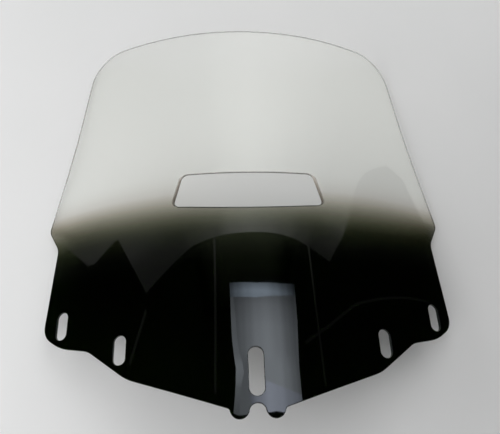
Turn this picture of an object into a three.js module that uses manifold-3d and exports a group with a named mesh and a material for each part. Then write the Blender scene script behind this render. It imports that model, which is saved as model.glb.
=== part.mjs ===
// Windshield screen for a touring motorcycle: one thermoformed sheet of clear plastic, smoke tinted over
// its lower half, with a vent opening, two pairs of side slots, a centre slot and two locating tabs.
// Millimetres, +Z up. The screen lies on a table with its outer, bulging side up and its top edge toward +Y.
import * as THREE from "three";
import { mergeVertices } from "three/addons/utils/BufferGeometryUtils.js";
import Module from "manifold-3d";

const wasm = await Module();
wasm.setup();

// ---- Driving dimensions -------------------------------------------------------------------------------
// The outline is drawn on the flat blank before it is bent. Its x runs round the bend from the centreline
// and its y runs up the screen from the middle of the centre slot.
const SHEET = 4.7; // thickness
const RADIUS = 750; // outside bend radius at y = 0
const TAPER = 0.25; // the radius shrinks by this much for each millimetre up the screen

const TOP = { y: 637.5, bow: 2700, cornerRadius: 75 }; // height at the centreline, radius of the top edge
const TOP_CORNER = { x: 290.4, y: 622.9 };
const WAIST = { x: 321.5, y: 417, radius: 2000 }; // where the long side edge changes slope
const EAR = { x: 355.2, y: 263.7, radius: 12 }; // the widest points
const STEP_IN = { x: 331.5, y: 225.5, radius: 14 }; // root of the step below each ear
const LOWER_CORNER = { x: 341.2, y: 77.7, radius: 30 };
const HEEL = { x: 305.6, y: 54.1, radius: 75 };
const SHOULDER = { x: 256.5, y: 44.6, radius: 38 };
const HIP = { x: 191.1, y: -2.9, radius: 75 };
const LOWER_EDGE_SLOPE = 0.3246; // fall of the straight lower edge toward the tabs

const TAB = { x: 25.8, y: -52, radius: 14.3 }; // centre and radius of each round tab
const TAB_FILLET = 5;
const NOTCH_TOP = -45; // top of the round notch between the tabs

const VENT = {
  topY: 330, topX: 109.9, topRadius: 12,
  bottomX: 125.5, bottomY: 271.6, bottomRadius: 9, bottomBow: 990, bottomMiddleY: 264.5,
};
const OUTER_SLOT = { x: 306.9, y: 90.3, width: 19.5, length: 44.5 };
const INNER_SLOT = { x: 203.9, y: 41.4, width: 19.5, length: 44.5 };
const CENTRE_SLOT = { x: 0, y: 0, width: 22.5, length: 70 };

const STRIPS = 26; // flat strips that stand for the bend in each half
const ARC_STEP = THREE.MathUtils.degToRad(9); // largest turn between two points of an arc
const LONGEST_EDGE = 30; // longest gap between two points of an arc or of a straight edge

// ---- Flat blank ---------------------------------------------------------------------------------------
const vec = (x, y) => new THREE.Vector2(x, y);

// Points of an arc about a centre, from one angle to another in radians.
function arc(centre, radius, from, to) {
  const turn = Math.abs(to - from);
  const steps = Math.ceil(Math.max(2, turn / ARC_STEP, (turn * radius) / LONGEST_EDGE));
  return Array.from({ length: steps + 1 }, (_, i) => {
    const a = from + ((to - from) * i) / steps;
    return vec(centre.x + radius * Math.cos(a), centre.y + radius * Math.sin(a));
  });
}

// The arc of the given radius that rounds the corner at b of the path a, b, c.
function rounded(a, b, c, radius) {
  const back = vec(a.x - b.x, a.y - b.y).normalize();
  const on = vec(c.x - b.x, c.y - b.y).normalize();
  const half = Math.acos(THREE.MathUtils.clamp(back.dot(on), -1, 1)) / 2;
  const middle = back.clone().add(on).normalize();
  const centre = vec(b.x, b.y).addScaledVector(middle, radius / Math.sin(half));
  const start = vec(b.x, b.y).addScaledVector(back, radius / Math.tan(half)).sub(centre);
  const end = vec(b.x, b.y).addScaledVector(on, radius / Math.tan(half)).sub(centre);
  const from = start.angle();
  let turn = end.angle() - from;
  turn -= 2 * Math.PI * Math.round(turn / (2 * Math.PI));
  return arc(centre, radius, from, from + turn);
}

// A path through corners that each have a radius; its first and last corners only give directions.
function roundedPath(corners) {
  const points = [];
  for (let i = 1; i < corners.length - 1; i++)
    points.push(...rounded(corners[i - 1], corners[i], corners[i + 1], corners[i].radius));
  return points;
}

// A long edge of large radius meets at a shallow corner on the centreline, this far beyond the edge.
function shallowCorner(middleY, radius, end) {
  const rise = (end.y - middleY) / end.x;
  const reach = end.x / radius;
  const slope = Math.sign(rise) * (reach - Math.sqrt(Math.max(0, reach * reach - 2 * Math.abs(rise) * reach)));
  return { x: 0, y: middleY - Math.sign(rise) * radius * (Math.hypot(1, slope) - 1), radius };
}

// The part of a long arc to the right of the centreline, from its middle outward.
const rightHalf = (points, middleY) => [vec(0, middleY), ...points.filter((p) => p.x > 1)];

// The lower edge meets a tab with a fillet, and the tab runs on into the round notch.
function tabPath() {
  const edgeAngle = Math.atan(LOWER_EDGE_SLOPE);
  const out = vec(Math.sin(edgeAngle), -Math.cos(edgeAngle)); // square to the edge, away from the sheet
  const along = vec(Math.cos(edgeAngle), Math.sin(edgeAngle));
  const toTab = vec(TAB.x - HIP.x, TAB.y - HIP.y);
  const beside = toTab.dot(out) - TAB_FILLET; // how far the tab's centre lies outside the fillet's line
  const reach = Math.sqrt((TAB.radius + TAB_FILLET) ** 2 - beside ** 2);
  const fillet = vec(HIP.x, HIP.y)
    .addScaledVector(out, TAB_FILLET)
    .addScaledVector(along, toTab.dot(along) + reach);
  const toTabAngle = Math.atan2(TAB.y - fillet.y, TAB.x - fillet.x);
  const edgeSide = Math.atan2(-out.y, -out.x);

  const drop = TAB.y - NOTCH_TOP;
  const notchRadius = (TAB.x ** 2 + drop ** 2 - TAB.radius ** 2) / (2 * (TAB.radius - drop));
  const notch = vec(0, NOTCH_TOP - notchRadius);
  const toNotch = Math.atan2(notch.y - TAB.y, notch.x - TAB.x);
  const fromNotch = Math.atan2(TAB.y - notch.y, TAB.x - notch.x);
  return [
    ...arc(fillet, TAB_FILLET, edgeSide, toTabAngle),
    ...arc(TAB, TAB.radius, toTabAngle - Math.PI + 2 * Math.PI, toNotch + 2 * Math.PI).slice(1),
    ...arc(notch, notchRadius, fromNotch, Math.PI / 2).slice(1),
  ];
}

// The outer edge of the right half, from the top of the centreline round to the notch.
function outerEdge() {
  const edgeEnd = { x: HIP.x - 100, y: HIP.y - 100 * LOWER_EDGE_SLOPE };
  const crown = shallowCorner(TOP.y, TOP.bow, TOP_CORNER);
  const otherCorner = { x: -TOP_CORNER.x, y: TOP_CORNER.y };
  return [
    ...rightHalf(rounded(otherCorner, crown, TOP_CORNER, TOP.bow), TOP.y),
    ...roundedPath([
      crown, { ...TOP_CORNER, radius: TOP.cornerRadius }, WAIST, EAR, STEP_IN,
      LOWER_CORNER, HEEL, SHOULDER, HIP, edgeEnd,
    ]),
    ...tabPath(),
  ];
}

// The right half of the centre slot's edge, upward.
function centreSlotEdge() {
  const { x, y, width, length } = CENTRE_SLOT;
  const reach = (length - width) / 2;
  return [
    ...arc(vec(x, y - reach), width / 2, -Math.PI / 2, 0),
    ...arc(vec(x, y + reach), width / 2, 0, Math.PI / 2),
  ];
}

// The right half of the vent opening's edge, upward.
function ventEdge() {
  const bottomCorner = { x: VENT.bottomX, y: VENT.bottomY, radius: VENT.bottomRadius };
  const topCorner = { x: VENT.topX, y: VENT.topY, radius: VENT.topRadius };
  const sill = shallowCorner(VENT.bottomMiddleY, VENT.bottomBow, bottomCorner);
  const otherCorner = { x: -bottomCorner.x, y: bottomCorner.y };
  return [
    ...rightHalf(rounded(otherCorner, sill, bottomCorner, sill.radius), VENT.bottomMiddleY),
    ...roundedPath([sill, bottomCorner, topCorner, { x: 0, y: VENT.topY }]),
    vec(0, VENT.topY),
  ];
}

function slotOutline({ x, y, width, length }) {
  const reach = (length - width) / 2;
  return [
    ...arc(vec(x, y + reach), width / 2, 0, Math.PI),
    ...arc(vec(x, y - reach), width / 2, Math.PI, 2 * Math.PI),
  ];
}

// Drops repeated points and splits long edges, so that the bend reaches the middle of each edge.
function evenly(points) {
  const result = [];
  points.forEach((p, i) => {
    const next = points[(i + 1) % points.length];
    const gap = p.distanceTo(next);
    if (gap < 1e-3) return;
    const pieces = Math.ceil(gap / LONGEST_EDGE);
    for (let k = 0; k < pieces; k++) result.push(p.clone().lerp(next, k / pieces));
  });
  return result;
}

// ---- Bend ---------------------------------------------------------------------------------------------
// The bend is a cone, made of flat strips that all point at its far-off tip. A strip's place is its angle.
const radiusAt = (y) => RADIUS - TAPER * y;
const angleAt = ({ x, y }) => x / radiusAt(y);

const halfBlank = evenly([...outerEdge(), ...centreSlotEdge(), ...ventEdge()]);
const halfAngle = Math.max(...halfBlank.map(angleAt)) * 1.0001;
const stripAngle = halfAngle / STRIPS;

// The right half of the blank with each x turned into its place round the bend, as a slab between w = 0
// (the inner face) and w = SHEET (the outer face).
function halfSlab() {
  const unbent = (points) => evenly(points).map((p) => vec(angleAt(p) * RADIUS, p.y));
  const shape = new THREE.Shape(unbent(halfBlank));
  for (const slot of [OUTER_SLOT, INNER_SLOT]) shape.holes.push(new THREE.Path(unbent(slotOutline(slot))));
  return new THREE.ExtrudeGeometry(shape, { depth: SHEET, bevelEnabled: false });
}

function solid(geometry) {
  const bare = geometry.clone().deleteAttribute("normal").deleteAttribute("uv");
  const merged = mergeVertices(bare, 1e-4);
  return new wasm.Manifold(
    new wasm.Mesh({
      numProp: 3,
      vertProperties: new Float32Array(merged.attributes.position.array),
      triVerts: new Uint32Array(merged.index.array),
    }),
  );
}

// A point of the bend on the line between two strips: the cone at that angle, at depth w in the sheet.
function onCone(angle, y, w) {
  const r = radiusAt(y) - SHEET + w;
  return new THREE.Vector3(r * Math.sin(angle), y, r * Math.cos(angle) - radiusAt(y));
}

// Cuts the slab into strips. Each triangle's corners are [u, y, w], as they lie in the slab.
function cutIntoStrips(slab) {
  return Array.from({ length: STRIPS }, (_, index) => {
    const [low, high] = [cutAt(index), cutAt(index + 1)];
    const box = new THREE.BoxGeometry(high - low, 2000, 4 * SHEET).translate((low + high) / 2, 0, 0);
    const { vertProperties, numProp, triVerts } = slab.intersect(solid(box)).getMesh();
    const corners = Array.from(triVerts, (v) => [...vertProperties.subarray(v * numProp, v * numProp + 3)]);
    return Array.from({ length: corners.length / 3 }, (_, t) => corners.slice(3 * t, 3 * t + 3));
  });
}

const cutAt = (index) => index * stripAngle * RADIUS;
const isOn = (corner, index) => Math.abs(corner[0] - cutAt(index)) < 1e-2;

// Every height at which a corner of either neighbouring strip meets a cut, in order.
function meetingHeights(strips, index) {
  const near = [strips[index - 1], strips[index]].filter(Boolean).flat(2);
  const heights = near.filter((c) => isOn(c, index)).map((c) => c[1]).sort((a, b) => a - b);
  return heights.filter((y, i) => i === 0 || y - heights[i - 1] > 1e-2);
}

// Splits a triangle with one edge along a cut at every height where the neighbour has a corner.
function splitAlong(triangle, index, heights) {
  const k = [0, 1, 2].find((j) => !isOn(triangle[j], index));
  const [apex, from, to] = [0, 1, 2].map((j) => triangle[(k + j) % 3]);
  const between = heights.filter((y) => (y - from[1] - 1e-2) * (y - to[1] + 1e-2) < 0
    && Math.abs(y - from[1]) > 1e-2 && Math.abs(y - to[1]) > 1e-2);
  if (to[1] < from[1]) between.reverse();
  const along = [from, ...between.map((y) => [cutAt(index), y, from[2]]), to];
  return along.slice(1).map((end, i) => [apex, along[i], end]);
}

// A strip's faces and outer walls, fitted to its neighbours. The walls along the cuts are left out, so
// that the strips join into one skin.
function openStrip(strips, index, heights) {
  let triangles = strips[index];
  for (const cut of [index, index + 1]) {
    const onCut = (triangle) => triangle.filter((c) => isOn(c, cut));
    triangles = triangles.filter((triangle) => onCut(triangle).length < 3).flatMap((triangle) => {
      const edge = onCut(triangle);
      const lies = edge.length === 2 && Math.abs(edge[0][2] - edge[1][2]) < 1e-3;
      return lies ? splitAlong(triangle, cut, heights[cut]) : [triangle];
    });
  }
  return triangles;
}

// Bends a corner of a strip: it stays on the flat between the strip's two edges, which lie on the cone.
function bent([u, y, w], index, heights) {
  const cut = [index, index + 1].find((c) => isOn([u], c));
  if (cut !== undefined) {
    const height = heights[cut].find((h) => Math.abs(h - y) < 2e-2);
    return onCone(cutAt(cut) / RADIUS, height, w);
  }
  const [low, high] = [cutAt(index), cutAt(index + 1)];
  return onCone(low / RADIUS, y, w).lerp(onCone(high / RADIUS, y, w), (u - low) / (high - low));
}

// Both halves of the sheet: the left half is the right one mirrored, with its triangles turned round.
function bentSheet() {
  const strips = cutIntoStrips(solid(halfSlab()));
  const heights = Array.from({ length: STRIPS + 1 }, (_, i) => meetingHeights(strips, i));
  const right = strips.flatMap((_, i) =>
    openStrip(strips, i, heights).flat().flatMap((corner) => bent(corner, i, heights).toArray()),
  );
  const left = [];
  for (let i = 0; i < right.length; i += 9)
    for (const k of [6, 3, 0]) left.push(-right[i + k], right[i + k + 1], right[i + k + 2]);
  const geometry = new THREE.BufferGeometry();
  return geometry.setAttribute("position", new THREE.Float32BufferAttribute([...right, ...left], 3));
}

// Lays the sheet on the table, where it stands on its ears and on its two top corners.
function laidDown(geometry) {
  const y = geometry.attributes.position;
  const lowest = (tilt, test) => {
    let low = Infinity;
    for (let i = 0; i < y.count; i++)
      if (test(y.getY(i)))
        low = Math.min(low, y.getY(i) * Math.sin(tilt) + y.getZ(i) * Math.cos(tilt));
    return low;
  };
  const isTop = (v) => v > WAIST.y;
  const isEar = (v) => v < WAIST.y;
  let [flat, steep] = [-0.3, 0];
  for (let i = 0; i < 40; i++) {
    const middle = (flat + steep) / 2;
    if (lowest(middle, isTop) > lowest(middle, isEar)) steep = middle;
    else flat = middle;
  }
  geometry.rotateX(steep);
  geometry.computeBoundingBox();
  const { min, max } = geometry.boundingBox;
  return geometry.translate(-(min.x + max.x) / 2, -(min.y + max.y) / 2, -min.z);
}

// ---- Screen -------------------------------------------------------------------------------------------
const group = new THREE.Group();
group.name = "windshield_screen";

const sheet = laidDown(bentSheet());
sheet.computeVertexNormals();
const screen = new THREE.Mesh(
  sheet,
  new THREE.MeshStandardMaterial({ color: 0x34372f, roughness: 0.06, metalness: 0 }),
);
screen.name = "screen_sheet";
group.add(screen);

export default group;
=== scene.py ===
import math

import bpy
from mathutils import Matrix, Quaternion, Vector
from mathutils.geometry import delaunay_2d_cdt
from mathutils.kdtree import KDTree


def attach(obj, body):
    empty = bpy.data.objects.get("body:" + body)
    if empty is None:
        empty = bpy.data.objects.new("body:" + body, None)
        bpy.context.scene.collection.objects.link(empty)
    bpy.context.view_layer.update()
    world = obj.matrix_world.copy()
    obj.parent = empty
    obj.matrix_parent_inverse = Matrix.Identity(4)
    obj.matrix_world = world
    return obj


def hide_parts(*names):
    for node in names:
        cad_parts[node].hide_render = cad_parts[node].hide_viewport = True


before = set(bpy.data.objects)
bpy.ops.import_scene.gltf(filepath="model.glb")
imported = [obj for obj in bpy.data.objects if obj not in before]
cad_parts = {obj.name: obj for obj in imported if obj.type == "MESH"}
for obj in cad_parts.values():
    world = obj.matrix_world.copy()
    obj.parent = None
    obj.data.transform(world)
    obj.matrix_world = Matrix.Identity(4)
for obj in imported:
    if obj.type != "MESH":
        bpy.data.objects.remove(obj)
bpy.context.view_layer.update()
scene = bpy.context.scene
MM = 0.001

# ---- Dimensions of the screen, in millimetres ----------------------------------------------------------
# The outline is drawn on the flat blank. Its x runs round the bend from the centreline, and its y runs up
# the screen from the middle of the centre slot.
SHEET = 4.7  # thickness
RADIUS = 750.0  # outside bend radius at y = 0
TAPER = 0.25  # the radius shrinks by this much for each millimetre up the screen
EDGE = 0.9  # radius of the polished edges
BEVEL_WIDTH, BEVEL_DEPTH = 4.5, 2.4  # the wide soft bevel that the vent has at its two sides
BEVEL_BLEND = 1.6  # how quickly the bevel widens where the vent's edge turns to the side

TOP = {"y": 637.5, "bow": 2700.0, "corner_radius": 75.0}
TOP_CORNER = (290.4, 622.9)
WAIST = ((321.5, 417.0), 2000.0)
EAR = ((355.9, 263.7), 20.0)
STEP_IN = ((331.5, 225.5), 26.0)
LOWER_CORNER = ((341.2, 77.7), 30.0)
HEEL = ((305.6, 54.1), 75.0)
SHOULDER = ((256.5, 44.6), 38.0)
HIP = ((191.1, -2.9), 75.0)
LOWER_EDGE_SLOPE = 0.3246
TAB, TAB_RADIUS, TAB_FILLET, NOTCH_TOP = (25.8, -52.0), 14.3, 5.0, -45.0
VENT_TOP = ((109.9, 330.0), 12.0)
VENT_BOTTOM = ((125.5, 271.6), 9.0)
VENT_SILL = {"y": 264.5, "bow": 990.0}
SIDE_SLOT, CENTRE_SLOT = (19.5, 44.5), (22.5, 70.0)  # width and length
# middle x, middle y, width and length of each slot
SLOTS = (
    (306.9, 90.3, *SIDE_SLOT),
    (-306.9, 90.3, *SIDE_SLOT),
    (203.9, 41.4, *SIDE_SLOT),
    (-203.9, 41.4, *SIDE_SLOT),
    (0.0, 0.0, *CENTRE_SLOT),
)
# How the sheet lies on the table: tilted about X, then moved to the middle of the frame.
REST_TILT = math.radians(-3.41386)
REST_SHIFT = Vector((0.0, -284.9394, 109.6966))

POINT_GAP = 3.0  # longest gap between two points of an edge
SAME_POINT = 0.05  # points closer than this are one point
ARC_STEP = math.radians(6)
WELD = 1e-4  # the triangulation takes points closer than this as one
GRID = 7.0  # gap between the points inside the faces
GRID_EDGE_GAP = 0.6 * GRID  # how far they keep from the edges
GRID_COLUMNS, GRID_BOTTOM, GRID_HEIGHT = 60, -80.0, 800.0  # the grid covers the whole blank
ROUND_STEPS = 4  # steps round each polished edge


# ---- Flat blank -----------------------------------------------------------------------------------------
def arc(centre, radius, start, end):
    turn = abs(end - start)
    steps = max(3, math.ceil(turn / ARC_STEP), math.ceil(turn * radius / POINT_GAP))
    angles = [start + (end - start) * i / steps for i in range(steps + 1)]
    return [Vector(centre) + radius * Vector((math.cos(a), math.sin(a))) for a in angles]


def rounded(a, b, c, radius):
    """The arc that rounds the corner at b of the path a, b, c."""
    a, b, c = Vector(a), Vector(b), Vector(c)
    back, on = (a - b).normalized(), (c - b).normalized()
    half = math.acos(max(-1.0, min(1.0, back.dot(on)))) / 2
    centre = b + (back + on).normalized() * radius / math.sin(half)
    start, end = (b + side * radius / math.tan(half) - centre for side in (back, on))
    first = math.atan2(start.y, start.x)
    turn = math.atan2(end.y, end.x) - first
    turn -= 2 * math.pi * round(turn / (2 * math.pi))
    return arc(centre, radius, first, first + turn)


def shallow_corner(middle_y, radius, end):
    """Where the tangents of a long bowed edge meet, on the centreline."""
    x, y = end
    rise = (y - middle_y) / x
    reach = x / radius
    slope = reach - math.sqrt(max(0.0, reach * reach - 2 * abs(rise) * reach))
    return (0.0, middle_y - math.copysign(1, rise) * radius * (math.hypot(1, slope) - 1))


def tab_path():
    """From the straight lower edge round the right tab and up into the notch."""
    angle = math.atan(LOWER_EDGE_SLOPE)
    out = Vector((math.sin(angle), -math.cos(angle)))
    along = Vector((math.cos(angle), math.sin(angle)))
    tab, hip = Vector(TAB), Vector(HIP[0])
    beside = (tab - hip).dot(out) - TAB_FILLET
    reach = math.sqrt((TAB_RADIUS + TAB_FILLET) ** 2 - beside**2)
    fillet = hip + out * TAB_FILLET + along * ((tab - hip).dot(along) + reach)
    drop = tab.y - NOTCH_TOP
    notch_radius = (tab.x**2 + drop**2 - TAB_RADIUS**2) / (2 * (TAB_RADIUS - drop))
    notch = Vector((0.0, NOTCH_TOP - notch_radius))
    to_tab, to_notch = tab - fillet, notch - tab
    meet = math.atan2(to_tab.y, to_tab.x)
    leave = math.atan2(to_notch.y, to_notch.x)
    return (
        arc(fillet, TAB_FILLET, math.atan2(-out.y, -out.x), meet)
        + arc(tab, TAB_RADIUS, meet + math.pi, leave + 2 * math.pi)
        + arc(notch, notch_radius, math.atan2(-to_notch.y, -to_notch.x), math.pi / 2)
    )


def outer_edge():
    crown = shallow_corner(TOP["y"], TOP["bow"], TOP_CORNER)
    mirror = (-TOP_CORNER[0], TOP_CORNER[1])
    top = [p for p in rounded(mirror, crown, TOP_CORNER, TOP["bow"]) if p.x > 1]
    (hip_x, hip_y), _ = HIP
    run = 100.0
    edge_end = (hip_x - run, hip_y - run * LOWER_EDGE_SLOPE)
    corners = [(TOP_CORNER, TOP["corner_radius"]), WAIST, EAR, STEP_IN, LOWER_CORNER, HEEL]
    corners += [SHOULDER, HIP]
    places = [crown] + [c for c, _ in corners] + [edge_end]
    right = [Vector((0.0, TOP["y"]))] + top
    for before, (corner, radius), after in zip(places, corners, places[2:]):
        right += rounded(before, corner, after, radius)
    right += tab_path()
    return right + [Vector((-p.x, p.y)) for p in reversed(right)]


def vent_edge():
    (bottom, bottom_radius), (top, top_radius) = VENT_BOTTOM, VENT_TOP
    sill = shallow_corner(VENT_SILL["y"], VENT_SILL["bow"], bottom)
    mirror = (-bottom[0], bottom[1])
    right = [Vector((0.0, VENT_SILL["y"]))]
    right += [p for p in rounded(mirror, sill, bottom, VENT_SILL["bow"]) if p.x > 1]
    right += rounded(sill, bottom, top, bottom_radius)
    right += rounded(bottom, top, (0.0, top[1]), top_radius) + [Vector((0.0, top[1]))]
    return right + [Vector((-p.x, p.y)) for p in reversed(right)]


def slot_edge(x, y, width, length):
    reach = (length - width) / 2
    upper = arc((x, y + reach), width / 2, 0, math.pi)
    return upper + arc((x, y - reach), width / 2, math.pi, 2 * math.pi)


def evenly(points):
    """Drops repeated points and splits long gaps."""
    result = []
    for p, q in zip(points, points[1:] + points[:1]):
        gap = (q - p).length
        if gap < SAME_POINT:
            continue
        pieces = math.ceil(gap / POINT_GAP)
        result += [p.lerp(q, i / pieces) for i in range(pieces)]
    return result


def material_side(loop, hole):
    """At each point of a loop, the flat direction into the sheet."""
    area = sum(p.x * q.y - q.x * p.y for p, q in zip(loop, loop[1:] + loop[:1]))
    sign = math.copysign(1, area) * (-1 if hole else 1)
    inward = []
    for i, p in enumerate(loop):
        d = (loop[(i + 1) % len(loop)] - loop[i - 1]).normalized()
        inward.append(Vector((-d.y, d.x)) * sign)
    return inward


def edge_round(into, vent):
    """Width and depth of the rounding at a point of an edge, from the flat direction into the sheet."""
    side = max(0.0, abs(into.x) - abs(into.y)) if vent else 0.0
    side = min(1.0, BEVEL_BLEND * side)
    return EDGE + (BEVEL_WIDTH - EDGE) * side, EDGE + (BEVEL_DEPTH - EDGE) * side


# The look of the vent's edge: lightly ground along the top, where a pale tan stands as painted light;
# ground at the sides, with painted shade that deepens toward their foot; polished at the bottom, with the
# deepest painted shade.
BOTTOM_FACING, SIDE_FACING = -0.5, 0.3  # where on the loop the bottom and the sides begin
TOP_GRINDING_AND_GLOW, SIDE_GRINDING_AND_GLOW = 0.5, 0.7
SIDE_DARKNESS, FOOT_DARKNESS, BOTTOM_DARKNESS = 0.6, 1.8, 2.6


def vent_edge_look(place, into):
    """How dark the vent's edge is painted (painted shade), and how heavily ground and pale (painted light)
    it is, at a place with this direction into the sheet.
    """
    if into.y < BOTTOM_FACING:
        return BOTTOM_DARKNESS, 0.0
    side = max(0.0, abs(into.x) - SIDE_FACING)
    top, bottom = VENT_TOP[0][1], VENT_BOTTOM[0][1]
    down = (top - place.y) / (top - bottom)
    return side * (SIDE_DARKNESS + FOOT_DARKNESS * down), TOP_GRINDING_AND_GLOW + SIDE_GRINDING_AND_GLOW * side


def inside(p, loop):
    odd = False
    for a, b in zip(loop, loop[1:] + loop[:1]):
        if (a.y > p.y) != (b.y > p.y) and p.x < a.x + (p.y - a.y) * (b.x - a.x) / (b.y - a.y):
            odd = not odd
    return odd


# ---- Bend -----------------------------------------------------------------------------------------------
REST_TURN = Matrix.Rotation(REST_TILT, 3, "X")


def bent(p, w):
    """A point of the blank at height w in the sheet, 0 inside and SHEET outside, in the frame in metres."""
    radius = RADIUS - TAPER * p.y
    angle, r = p.x / radius, radius - SHEET + w
    on_cone = Vector((r * math.sin(angle), p.y, r * math.cos(angle) - radius))
    return (REST_TURN @ on_cone + REST_SHIFT) * MM


def frame_at(p):
    """The directions at a point of the sheet: along the blank's x, along its y, and outward."""
    step = 0.5
    across = (bent(p + Vector((step, 0)), SHEET) - bent(p - Vector((step, 0)), SHEET)).normalized()
    up = (bent(p + Vector((0, step)), SHEET) - bent(p - Vector((0, step)), SHEET)).normalized()
    return across, up, across.cross(up).normalized()


def sheet_mesh():
    vent = evenly(vent_edge())
    loops = [evenly(outer_edge()), vent] + [evenly(slot_edge(*slot)) for slot in SLOTS]
    sides = [material_side(loop, hole=i > 0) for i, loop in enumerate(loops)]
    rounds = [[edge_round(n, loop is vent) for n in side] for loop, side in zip(loops, sides)]
    rims = [
        [p + n * width for p, n, (width, _) in zip(loop, side, shape)]
        for loop, side, shape in zip(loops, sides, rounds)
    ]

    near = KDTree(sum(len(rim) for rim in rims))
    flat, edges = [], []
    for rim in rims:
        first = len(flat)
        for i, p in enumerate(rim):
            near.insert((p.x, p.y, 0), first + i)
            edges.append((first + i, first + (i + 1) % len(rim)))
        flat += rim
    near.balance()
    rim_count = len(flat)
    row_gap = GRID * math.sqrt(3) / 2
    for row in range(int(GRID_HEIGHT / row_gap)):
        for column in range(-GRID_COLUMNS, GRID_COLUMNS + 1):
            p = Vector(((column + 0.5 * (row % 2)) * GRID, GRID_BOTTOM + row * row_gap))
            _, _, nearest = near.find((p.x, p.y, 0))
            if nearest > GRID_EDGE_GAP:
                if inside(p, rims[0]) and not any(inside(p, rim) for rim in rims[1:]):
                    flat.append(p)
    made, _, triangles, *_ = delaunay_2d_cdt(flat, edges, [], 0, WELD)
    if len(made) != len(flat):
        raise ValueError("the flat blank's edges cross each other")
    flat = [Vector(p) for p in made]

    def kept(triangle):
        a, b, c = triangle
        if min(triangle) >= rim_count:
            return True
        middle = (flat[a] + flat[b] + flat[c]) / 3
        return inside(middle, rims[0]) and not any(inside(middle, rim) for rim in rims[1:])

    triangles = [t for t in triangles if kept(t)]

    vertices, normals, blank, faces = [], [], [], []
    painted_edge_shade, ground_and_glow_rim = [], []

    def add(p, w, normal, dark=0.0, grinding_and_glow=0.0):
        vertices.append(bent(p, w))
        normals.append(normal)
        blank.append(p)
        painted_edge_shade.append(dark)
        ground_and_glow_rim.append(grinding_and_glow)
        return len(vertices) - 1

    outward = [frame_at(p)[2] for p in flat]
    outer = [add(p, SHEET, n) for p, n in zip(flat, outward)]
    inner = [add(p, 0.0, -n) for p, n in zip(flat, outward)]
    for a, b, c in triangles:
        anticlockwise = (flat[b] - flat[a]).cross(flat[c] - flat[a]) > 0
        a, b, c = (a, b, c) if anticlockwise else (a, c, b)
        faces.append((outer[a], outer[b], outer[c]))
        faces.append((inner[a], inner[c], inner[b]))

    # Round each edge: a quarter ellipse from the outer face to the cut, and another to the inner face.
    quarter = [math.pi / 2 * i / ROUND_STEPS for i in range(ROUND_STEPS + 1)]
    turns = [(True, a) for a in reversed(quarter)] + [(False, -a) for a in quarter]
    first = 0
    for loop, side, shape in zip(loops, sides, rounds):
        rings = []
        for on_top, a in turns[1:-1]:
            ring = []
            for p, n, (width, depth) in zip(loop, side, shape):
                across, up, out = frame_at(p)
                depth = depth if on_top else EDGE
                centre = SHEET - depth if on_top else depth
                level_out = -(across * n.x + up * n.y)
                normal = level_out * depth * math.cos(a) + out * width * math.sin(a)
                place = p + n * width * (1 - math.cos(a))
                # Every edge gets painted shade; the vent's edge gets deeper painted shade, its grinding and
                # its pale painted light.
                dark, grinding_and_glow = vent_edge_look(p, n) if loop is vent else (1.0, 0.0)
                ring.append(add(place, centre + depth * math.sin(a), normal, dark, grinding_and_glow))
            rings.append(ring)
        count = len(loop)
        rings = [outer[first : first + count]] + rings + [inner[first : first + count]]
        area = sum(p.x * q.y - q.x * p.y for p, q in zip(loop, loop[1:] + loop[:1]))
        flipped = (area > 0) == (first > 0)
        for upper, lower in zip(rings, rings[1:]):
            for i in range(count):
                j = (i + 1) % count
                quad = (upper[i], lower[i], lower[j], upper[j])
                faces.append(quad[::-1] if flipped else quad)
        first += count

    mesh = bpy.data.meshes.new("screen_sheet_smooth")
    mesh.from_pydata(vertices, [], faces)
    uv = mesh.uv_layers.new(name="Blank")
    for corner in mesh.loops:
        uv.data[corner.index].uv = blank[corner.vertex_index] * MM
    for name, values in (("painted_edge_shade", painted_edge_shade), ("ground_and_glow_rim", ground_and_glow_rim)):
        mesh.attributes.new(name, "FLOAT", "POINT").data.foreach_set("value", values)
    for polygon in mesh.polygons:
        polygon.use_smooth = True
    mesh.normals_split_custom_set_from_vertices([n.normalized() for n in normals])
    mesh.validate()
    return mesh


# ---- Materials ------------------------------------------------------------------------------------------
class Nodes:
    """The emptied node tree of a material or a world, with short ways to add nodes to it."""

    def __init__(self, owner):
        owner.use_nodes = True
        self.tree = owner.node_tree
        self.tree.nodes.clear()

    def add(self, kind, inputs=None, **settings):
        node = self.tree.nodes.new("ShaderNode" + kind)
        for name, value in settings.items():
            setattr(node, name, value)
        for name, value in (inputs or {}).items():
            if isinstance(value, bpy.types.NodeSocket):
                self.tree.links.new(value, node.inputs[name])
            else:
                node.inputs[name].default_value = value
        return node

    def math(self, operation, a, b, clamp=False):
        return self.add("Math", {0: a, 1: b}, operation=operation, use_clamp=clamp).outputs[0]

    def mixed_colour(self, factor, a, b, way):
        node = self.add("Mix", {0: factor, 6: a, 7: b}, data_type="RGBA", blend_type=way)
        return node.outputs[2]

    def curve(self, coordinate, stops, interpolation="LINEAR"):
        """A value that follows stops of (place in metres, value) along a coordinate."""
        start, end = stops[0][0], stops[-1][0]
        peak = max(value for _, value in stops)
        along = self.math("DIVIDE", self.math("SUBTRACT", coordinate, start), end - start, clamp=True)
        shares = [((place - start) / (end - start), value / peak) for place, value in stops]
        return self.math("MULTIPLY", self.ramp(along, shares, interpolation), peak)

    def ramp(self, factor, stops, interpolation="LINEAR"):
        node = self.add("ValToRGB", {"Fac": factor})
        ramp = node.color_ramp
        ramp.interpolation = interpolation
        while len(ramp.elements) < len(stops):
            ramp.elements.new(1.0)
        for element, (at, colour) in zip(ramp.elements, stops):
            element.position = at
            if not isinstance(colour, tuple):
                colour = (colour,) * 3
            element.color = (*colour, 1.0)
        return node.outputs["Color"]


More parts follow.
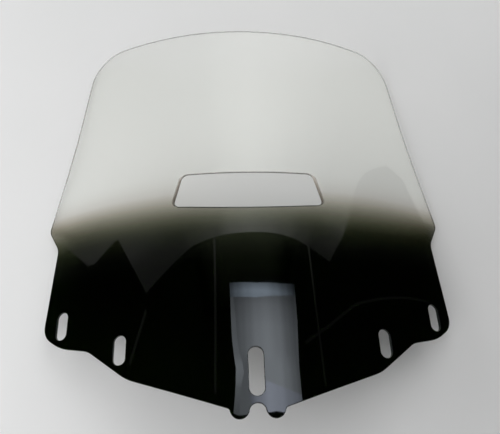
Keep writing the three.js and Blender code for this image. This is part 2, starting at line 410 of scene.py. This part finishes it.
# The smoke tint begins on a line that arches over the screen, at this height on the blank's centreline,
# falls away toward the sides and rises a little from left to right. It deepens over TINT_DEPTH below it.
TINT_TOP, TINT_FALL, TINT_SLOPE, TINT_DEPTH = 0.3315, 0.07, 0.014, 0.160
TINT_WANDER = 0.006  # how far the line strays
# How much light passes both faces, by the share of TINT_DEPTH.
TINT = (
    (0.00, (0.985, 0.990, 0.970)),
    (0.10, (0.955, 0.955, 0.930)),
    (0.20, (0.885, 0.872, 0.845)),
    (0.27, (0.730, 0.700, 0.645)),
    (0.33, (0.560, 0.540, 0.465)),
    (0.39, (0.385, 0.375, 0.310)),
    (0.45, (0.255, 0.250, 0.190)),
    (0.51, (0.150, 0.157, 0.105)),
    (0.57, (0.084, 0.091, 0.056)),
    (0.64, (0.037, 0.043, 0.023)),
    (0.72, (0.019, 0.024, 0.012)),
    (0.84, (0.008, 0.010, 0.006)),
    (1.00, (0.001, 0.003, 0.000)),
)
RIM_SHADE = (0.36, 0.36, 0.35)  # painted shade: how much darker the sheet is made at its edges, in place of the dark room seen through them by refraction
GROUND_GLOW = (0.92, 0.80, 0.70)  # painted light: a pale tan on the ground edge at the top and sides of the vent, in place of light carried in from the room
GROUND_GLOW_COVER, GROUND_HAZE = 0.75, 0.45  # how much of the tint the painted tan hides, and how much light the ground edge scatters


def smoke_plastic():
    material = bpy.data.materials.new("smoke_tinted_plastic")
    n = Nodes(material)
    blank = n.add("UVMap", uv_map="Blank").outputs["UV"]
    split = n.add("SeparateXYZ", {"Vector": blank})
    x, y = split.outputs["X"], split.outputs["Y"]
    uneven = n.add("TexNoise", {"Vector": blank, "Scale": 6.0, "Detail": 2.0}).outputs["Fac"]
    line = n.math("SUBTRACT", TINT_TOP, n.math("MULTIPLY", n.math("MULTIPLY", x, x), TINT_FALL))
    line = n.math("ADD", line, n.math("MULTIPLY", x, TINT_SLOPE))
    line = n.math("ADD", line, n.math("MULTIPLY", n.math("SUBTRACT", uneven, 0.5), TINT_WANDER))
    below = n.math("DIVIDE", n.math("SUBTRACT", line, y), TINT_DEPTH, clamp=True)
    body = n.ramp(below, TINT)
    # The vent's ground edge takes a pale tan, painted light in place of light carried in from the room; its
    # grinding also scatters some light.
    grinding_and_glow = n.add("Attribute", attribute_name="ground_and_glow_rim").outputs["Fac"]
    glow_cover = n.math("MULTIPLY", grinding_and_glow, GROUND_GLOW_COVER)
    tint_and_edge_paint = n.mixed_colour(glow_cover, body, (*GROUND_GLOW, 1.0), "MIX")
    # Painted shade darkens the edges: once on the outer edges and slots, more round the vent and most at
    # its bottom.
    rim = n.add("Attribute", attribute_name="painted_edge_shade").outputs["Fac"]
    rim_shade = n.add("Gamma", {"Color": (*RIM_SHADE, 1.0), "Gamma": rim}).outputs["Color"]
    tint_and_edge_paint = n.mixed_colour(1.0, tint_and_edge_paint, rim_shade, "MULTIPLY")

    place = n.add("TexCoord").outputs["Object"]
    smears = n.add(
        "TexNoise", {"Vector": place, "Scale": 9.0, "Detail": 5.0, "Distortion": 0.6}
    ).outputs["Fac"]
    roughness = n.ramp(smears, ((0.35, 0.012), (0.75, 0.030)))
    waves = n.add("TexNoise", {"Vector": place, "Scale": 5.0, "Detail": 1.0}).outputs["Fac"]
    bump = n.add("Bump", {"Height": waves, "Strength": 0.10, "Distance": 0.003})

    see_through = n.math("SUBTRACT", 1.0, n.math("MULTIPLY", grinding_and_glow, GROUND_HAZE))
    plastic = n.add(
        "BsdfPrincipled",
        {
            "Base Color": tint_and_edge_paint,
            "Roughness": roughness,
            "IOR": 1.49,
            "Transmission Weight": see_through,
            "Normal": bump.outputs["Normal"],
        },
    )
    # Lamps reach the table through the sheet, which colours their light once at each face.
    once = n.add("Gamma", {"Color": tint_and_edge_paint, "Gamma": 0.5}).outputs["Color"]
    clear = n.add("BsdfTransparent", {"Color": once})
    path = n.add("LightPath")
    lamp = n.math("MAXIMUM", path.outputs["Is Shadow Ray"], path.outputs["Is Diffuse Ray"])
    both = n.add("MixShader", {0: lamp, 1: plastic.outputs[0], 2: clear.outputs[0]})
    n.add("OutputMaterial", {"Surface": both.outputs[0]})
    return material


def table_paper():
    material = bpy.data.materials.new("pale_table")
    n = Nodes(material)
    place = n.add("TexCoord").outputs["Object"]
    fibres = n.add("TexNoise", {"Vector": place, "Scale": 3.0, "Detail": 4.0}).outputs["Fac"]
    colour = n.ramp(fibres, ((0.3, (0.775, 0.78, 0.78)), (0.7, (0.80, 0.80, 0.80))))
    paper = n.add("BsdfPrincipled", {"Base Color": colour, "Roughness": 0.8})
    n.add("OutputMaterial", {"Surface": paper.outputs[0]})
    return material


# ---- Screen ---------------------------------------------------------------------------------------------
screen = bpy.data.objects.new("screen_sheet_smooth", sheet_mesh())
scene.collection.objects.link(screen)
screen.data.materials.append(smoke_plastic())
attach(screen, "root")
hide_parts("screen_sheet")

# ---- Table ----------------------------------------------------------------------------------------------
FLOOR_REACH = 30.0
floor_mesh = bpy.data.meshes.new("floor")
floor_corners = [(x * FLOOR_REACH, y * FLOOR_REACH, 0) for x, y in ((-1, -1), (1, -1), (1, 1), (-1, 1))]
floor_mesh.from_pydata(floor_corners, [], [(0, 1, 2, 3)])
floor = bpy.data.objects.new("floor", floor_mesh)
floor.data.materials.append(table_paper())
scene.collection.objects.link(floor)


# ---- Studio ---------------------------------------------------------------------------------------------
LAMP_DISTANCE = 2.4


def soft_light(name, bearing, height, size, power):
    """A soft lamp aimed at the screen, which lights the table and isn't mirrored in the sheet."""
    turn, rise = math.radians(bearing), math.radians(height)
    level = math.cos(rise)
    place = LAMP_DISTANCE * Vector((level * math.sin(turn), level * math.cos(turn), math.sin(rise)))
    data = bpy.data.lights.new(name, "AREA")
    data.shape = "RECTANGLE"
    data.size, data.size_y = size
    data.energy = power
    lamp = bpy.data.objects.new(name, data)
    lamp.location = place
    lamp.rotation_mode = "QUATERNION"
    lamp.rotation_quaternion = (-place).to_track_quat("-Z", "Y")
    scene.collection.objects.link(lamp)
    lamp.visible_camera = lamp.visible_glossy = lamp.visible_transmission = False


# Soft lamps stand round the table: strongest at the left and the front left, weaker behind and above.
# Each has a bearing clockwise from behind the screen and a height angle in degrees, a size and a power.
LOW_PANEL, HIGH_PANEL, CEILING_PANEL = (1.6, 1.0), (1.6, 1.4), (2.0, 2.0)
for lamp_row in (
    ("back_high", 0, 45, HIGH_PANEL, 12.2),
    ("back_right_low", 45, 18, LOW_PANEL, 13.0),
    ("back_right_high", 45, 45, HIGH_PANEL, 4.7),
    ("front_left_low", 225, 18, LOW_PANEL, 31.0),
    ("front_left_high", 225, 45, HIGH_PANEL, 11.7),
    ("left_low", 270, 18, LOW_PANEL, 28.6),
    ("back_left_low", 315, 18, LOW_PANEL, 7.6),
    ("overhead", 0, 81.5, CEILING_PANEL, 7.4),
):
    soft_light(*lamp_row)


def card(name, corners, strength, colour):
    """A bright panel that shows only where the sheet mirrors it. strength(nodes, x, y, z) gives its
    brightness from the place in metres."""
    mesh = bpy.data.meshes.new(name)
    mesh.from_pydata(corners, [], [tuple(range(len(corners)))])
    material = bpy.data.materials.new(name)
    n = Nodes(material)
    split = n.add("SeparateXYZ", {"Vector": n.add("TexCoord").outputs["Object"]})
    value = strength(n, *(split.outputs[k] for k in "XYZ"))
    glow = n.add("Emission", {"Color": (*colour, 1.0), "Strength": value})
    n.add("OutputMaterial", {"Surface": glow.outputs[0]})
    panel = bpy.data.objects.new(name, mesh)
    mesh.materials.append(material)
    scene.collection.objects.link(panel)
    panel.visible_camera = panel.visible_diffuse = panel.visible_shadow = False


# A frosted window in the ceiling, which the lower half of the screen mirrors: a face with a brighter band
# along its far side, a curved strip at its left, a thin one at its right and a brighter part nearest.
CEILING = 2.0
COOL, SKY, DUSK = (0.90, 0.98, 1.07), (0.82, 0.98, 1.17), (0.86, 0.94, 1.12)
FAR_SIDE = [(-0.17, 0.67), (0.18, 0.665), (0.51, 0.675), (0.71, 0.69)]
BAND_FOOT = [(-0.165, 0.595), (0.17, 0.59), (0.50, 0.61), (0.71, 0.63)]
STRIP_INSIDE = [
    (-0.125, 0.595), (-0.105, 0.50), (-0.09, 0.395), (-0.065, 0.315), (-0.03, 0.27),
    (-0.015, 0.225), (-0.045, 0.18), (-0.07, 0.115), (-0.08, 0.04),
]
STRIP_OUTSIDE = [
    (-0.165, 0.595), (-0.16, 0.45), (-0.15, 0.375), (-0.13, 0.30), (-0.11, 0.245),
    (-0.115, 0.185), (-0.13, 0.115), (-0.15, 0.05), (-0.10, 0.04),
]
RIGHT_INSIDE = [(0.66, 0.625), (0.66, 0.515), (0.65, 0.36), (0.635, 0.26), (0.64, 0.19), (0.67, 0.135)]
RIGHT_OUTSIDE = [(0.71, 0.63), (0.705, 0.49), (0.685, 0.365), (0.67, 0.265)]
NEAR_TOP = [(0.04, 0.11), (0.14, 0.165), (0.255, 0.185), (0.36, 0.17), (0.485, 0.155)]
NEAR_FOOT = [(0.675, 0.04), (0.435, 0.05), (0.34, 0.055), (0.27, 0.05), (0.10, 0.04)]


def overhead(name, outline, strength, colour):
    card(name, [(x, y, CEILING) for x, y in outline], strength, colour)


def window_face(n, x, y, z):
    far = n.curve(
        x,
        (
            (-0.10, 1.4), (-0.02, 1.85), (0.06, 2.4), (0.16, 3.2), (0.29, 3.6), (0.43, 3.0),
            (0.56, 1.8), (0.61, 1.45), (0.66, 1.1),
        ),
        "EASE",
    )
    near = n.curve(
        x,
        (
            (-0.05, 1.5), (0.06, 1.6), (0.12, 2.3), (0.25, 3.4), (0.42, 3.4), (0.50, 2.6),
            (0.61, 1.7), (0.66, 1.2),
        ),
        "EASE",
    )
    nearness = n.curve(y, ((0.24, 1.0), (0.34, 0.0)), "EASE")
    level = n.add("Mix", {0: nearness, 2: far, 3: near}).outputs[0]
    fade = n.curve(y, ((0.10, 1.1), (0.30, 1.08), (0.45, 1.0), (0.555, 0.76), (0.60, 0.56)))
    return n.math("MULTIPLY", level, fade)


def window_band(n, x, y, z):
    across = n.curve(
        x,
        (
            (-0.16, 0.9), (-0.08, 1.7), (0.05, 2.9), (0.16, 3.7), (0.30, 3.8), (0.43, 2.8),
            (0.56, 1.6), (0.64, 0.9), (0.70, 0.4),
        ),
        "EASE",
    )
    fade = n.curve(y, ((0.600, 0.98), (0.625, 1.05), (0.655, 0.68), (0.672, 0.50)))
    return n.math("MULTIPLY", across, fade)


def window_strip(n, x, y, z):
    stops = ((0.05, 1.3), (0.15, 1.8), (0.19, 2.5), (0.25, 2.8), (0.32, 2.1), (0.45, 1.75), (0.59, 1.15))
    return n.curve(y, stops, "EASE")


def window_right(n, x, y, z):
    return n.curve(y, ((0.30, 1.40), (0.42, 1.30), (0.50, 1.0), (0.59, 0.7), (0.63, 0.5)))


def window_near(n, x, y, z):
    stops = ((0.04, 1.9), (0.16, 3.6), (0.27, 4.8), (0.40, 4.3), (0.52, 3.1), (0.60, 2.5), (0.67, 1.8))
    return n.curve(x, stops, "EASE")


overhead("window_band", FAR_SIDE + BAND_FOOT[::-1], window_band, SKY)
overhead("window_strip", STRIP_OUTSIDE[::-1] + STRIP_INSIDE, window_strip, COOL)
overhead("window_right", RIGHT_INSIDE + RIGHT_OUTSIDE[::-1], window_right, COOL)
overhead("window_near", NEAR_TOP + RIGHT_INSIDE[-1:] + NEAR_FOOT, window_near, DUSK)
overhead(
    "window_face",
    BAND_FOOT[1:3] + RIGHT_INSIDE + NEAR_TOP[::-1] + NEAR_FOOT[-1:] + STRIP_INSIDE[::-1],
    window_face,
    COOL,
)


LINE_GLOW = (0.98, 1.0, 0.94)
LINE_NEAR, LINE_FAR = 0.60, 0.90  # where along y a line has its near and its far brightness


def light_line(name, route, width, near, far):
    """A faint strip along a route on the ceiling, which goes from a near to a far brightness."""
    route = [Vector(p) for p in route]
    sides = []
    for before, after in zip(route[:1] + route, route[1:] + route[-1:]):
        along = (after - before).normalized()
        sides.append(Vector((-along.y, along.x)) * width / 2)
    left = [tuple(p + side) for p, side in zip(route, sides)]
    right = [tuple(p - side) for p, side in zip(route, sides)]

    def brightness(n, x, y, z):
        return n.curve(y, ((LINE_NEAR, near), (LINE_FAR, far)))

    overhead(name, left + right[::-1], brightness, LINE_GLOW)


light_line("ceiling_line_left", ((-0.355, 0.14), (-0.36, 0.70), (-0.375, 0.94)), 0.030, 0.085, 0.27)
light_line("ceiling_line_right", ((1.015, 0.20), (1.005, 0.96)), 0.028, 0.060, 0.18)
light_line("ceiling_line_far_left", ((-1.41, 0.69), (-1.62, 0.43)), 0.05, 0.08, 0.08)
long_route = ((0.79, 0.39), (1.18, 0.52), (1.78, 0.75), (5.90, 1.93))
light_line("ceiling_line_long", long_route, 0.018, 0.045, 0.045)

# The pale backdrop behind the screen, which its upper half mirrors.
BACKDROP_AT, SPILL_TOP = 1.5, 4.6
BACKDROP_TOP = [
    (-2.37, 3.40), (-1.60, 3.21), (-1.04, 3.07), (0.04, 3.04), (0.80, 2.99), (1.18, 2.98), (2.04, 3.05),
]
BACKDROP_RIGHT = [
    (2.13, 2.49), (2.13, 2.21), (2.06, 1.79), (2.04, 1.59), (2.07, 1.39), (2.31, 0.90), (2.61, 0.69),
    (3.30, 0.62), (3.60, 0.00),
]
BACKDROP_LEFT = [(-3.32, 0.00), (-3.24, 1.45), (-3.19, 1.90), (-3.05, 2.03), (-2.42, 2.12)]


def backdrop_glow(n, x, y, z):
    middle = n.curve(
        x,
        (
            (-1.3, 0.10), (-1.0, 0.22), (-0.5, 0.50), (-0.15, 1.2), (0.2, 1.5), (0.5, 1.25),
            (0.95, 0.70), (1.25, 0.30), (1.6, 0.06),
        ),
        "EASE",
    )
    high = n.curve(z, ((0.3, 0.35), (1.35, 0.40), (1.8, 0.60), (2.2, 0.78), (2.7, 0.87)))
    left = n.curve(z, ((1.3, 0.38), (2.0, 0.33), (2.5, 0.22), (2.8, 0.08), (3.1, 0.04)))
    left = n.math("MULTIPLY", left, n.curve(x, ((-3.3, 0.5), (-2.2, 1.0))))
    right = n.curve(z, ((1.8, 0.58), (2.3, 0.45), (2.66, 0.14), (3.0, 0.06)), "EASE")
    side = n.curve(x, ((-1.2, 0.0), (0.3, 1.0)), "EASE")
    low = n.add("Mix", {0: side, 2: left, 3: right}).outputs[0]
    return n.math("ADD", n.math("MULTIPLY", middle, high), low)


def spill_glow(n, x, y, z):
    across = n.curve(x, ((-1.0, 0.0), (-0.3, 1.0), (0.5, 1.0), (1.1, 0.0)), "EASE")
    fade = n.curve(z, ((3.02, 0.21), (3.2, 0.13), (3.4, 0.08), (3.8, 0.035), (SPILL_TOP, 0.0)))
    return n.math("MULTIPLY", across, fade)


def upright(name, outline, strength, colour):
    card(name, [(x, BACKDROP_AT, z) for x, z in outline], strength, colour)


WARM_WHITE, PALE_GREEN = (0.98, 1.0, 0.96), (0.85, 1.0, 0.65)
upright("backdrop", BACKDROP_TOP + BACKDROP_RIGHT + BACKDROP_LEFT, backdrop_glow, WARM_WHITE)
# Its light spills onto the wall above the middle of its top edge.
spill = BACKDROP_TOP[2:6] + [(1.2, SPILL_TOP), (-1.05, SPILL_TOP)]
upright("backdrop_spill", spill, spill_glow, PALE_GREEN)

# The room round the table, pale at eye level and dark above. It doesn't light the table.
world = bpy.data.worlds.new("room")
scene.world = world
room = Nodes(world)
way = room.add("SeparateXYZ", {"Vector": room.add("TexCoord").outputs["Generated"]}).outputs["Z"]
shade = room.ramp(way, ((0.0, (0.62, 0.63, 0.65)), (0.08, (0.34, 0.35, 0.36)), (0.19, 0.004)), "EASE")
background = room.add("Background", {"Color": shade, "Strength": 1.0})
room.add("OutputWorld", {"Surface": background.outputs[0]})
world.cycles_visibility.diffuse = False

# ---- Camera ---------------------------------------------------------------------------------------------
CAMERA_PLACE, CAMERA_AIM = Vector((-0.0624, -0.4184, 1.0036)), Vector((0.0026, -0.0253, 0.060))
CAMERA_ROLL = math.radians(7.95)
camera = bpy.data.objects.new("camera", bpy.data.cameras.new("camera"))
scene.collection.objects.link(camera)
bpy.context.scene.camera = camera
camera.data.sensor_width = 36.0
camera.data.lens = 44.05
camera.location = CAMERA_PLACE
camera.rotation_mode = "QUATERNION"
towards = (CAMERA_AIM - CAMERA_PLACE).to_track_quat("-Z", "Y")
camera.rotation_quaternion = towards @ Quaternion((0, 0, 1), CAMERA_ROLL)
camera.data.clip_start, camera.data.clip_end = 0.01, 100.0
scene.view_settings.view_transform = "Standard"
